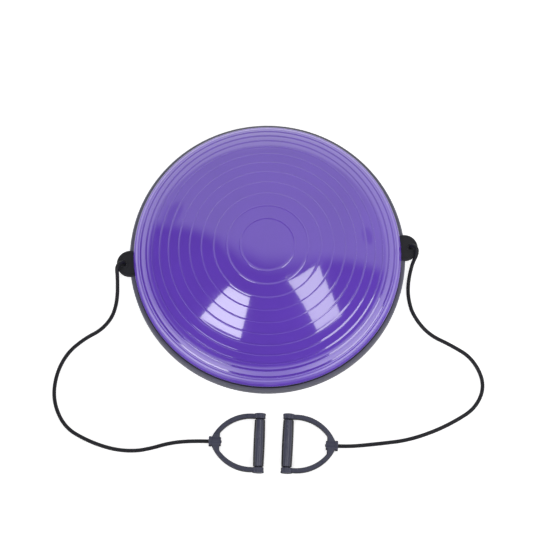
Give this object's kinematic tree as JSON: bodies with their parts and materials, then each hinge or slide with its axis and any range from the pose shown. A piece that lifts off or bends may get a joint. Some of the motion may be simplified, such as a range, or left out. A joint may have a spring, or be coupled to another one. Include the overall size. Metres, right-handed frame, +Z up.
{
  "type": "balance dome trainer",
  "caption": "Inflated balance dome on a round flat base, with side lugs, elastic bands and swivelling D handles.",
  "frame": {"origin": "middle of the base's underside, on the rubber pad that rests on the floor", "axes": "+Z up through the dome's pole; the band lugs are on the X axis; the handles lie towards -Y"},
  "size_m": [0.897, 0.7488, 0.12],
  "materials": {
    "base": "fine-textured moulded grey plastic",
    "clamp_ring": "satin moulded grey plastic",
    "dome": "glossy violet PVC",
    "bladder": "violet PVC sheet",
    "valve": "pale soft PVC",
    "foot_rubber": "matt black rubber",
    "screw_steel": "zinc-plated steel",
    "lug": "near-black satin plastic",
    "band": "dark smooth latex tube",
    "stopper": "black plastic",
    "handle": "dark blue-grey moulded plastic",
    "sleeve": "dark blue-grey smooth plastic tube",
    "rod": "steel rod",
    "bush": "white nylon"
  },
  "bodies": {
    "base": {"base_plate": "base", "clamp_ring": "clamp_ring", "bladder_floor": "bladder", "valve_seat": "valve", "foot_pads": "foot_rubber", "centre_pad": "foot_rubber", "perimeter_screws": "screw_steel", "lug_left": "lug", "lug_screws_left": "screw_steel", "band_stop_left": "stopper", "band_left": "band", "swivel_bush_left": "bush", "band_plug_left": "stopper", "lug_right": "lug", "lug_screws_right": "screw_steel", "band_stop_right": "stopper", "band_right": "band", "swivel_bush_right": "bush", "band_plug_right": "stopper"},
    "dome": {"dome_shell": "dome"},
    "valve_plug": {"valve_plug": "valve"},
    "handle_left": {"handle_frame_left": "handle", "grip_rod_left": "rod", "rod_cap_back_left": "handle", "rod_cap_front_left": "handle"},
    "grip_left": {"grip_sleeve_left": "sleeve"},
    "handle_right": {"handle_frame_right": "handle", "grip_rod_right": "rod", "rod_cap_back_right": "handle", "rod_cap_front_right": "handle"},
    "grip_right": {"grip_sleeve_right": "sleeve"}
  },
  "joints": [
    {"name": "dome_press", "type": "slide", "parent": "base", "child": "dome", "axis": [0, 0, -1], "range_m": [0, 0.045], "stiffness_N_per_m": 17000, "deforming": ["dome_shell"]},
    {"name": "valve_plug_pull", "type": "slide", "parent": "base", "child": "valve_plug", "axis": [0, 0, -1], "range_m": [0, 0.012]},
    {"name": "handle_left_swivel", "type": "hinge", "parent": "base", "child": "handle_left", "pos_m": [-0.13664, -0.38278, 0.01195], "axis": [-0.9952, 0.0976, 0], "continuous": true},
    {"name": "grip_left_spin", "type": "hinge", "parent": "handle_left", "child": "grip_left", "pos_m": [-0.0406, -0.3922, 0.01195], "axis": [-0.0976, -0.9952, 0], "continuous": true},
    {"name": "handle_right_swivel", "type": "hinge", "parent": "base", "child": "handle_right", "pos_m": [0.11352, -0.40709, 0.01195], "axis": [0.994, -0.1097, 0], "continuous": true},
    {"name": "grip_right_spin", "type": "hinge", "parent": "handle_right", "child": "grip_right", "pos_m": [0.0176, -0.3965, 0.01195], "axis": [0.1097, 0.994, 0], "continuous": true}
  ]
}
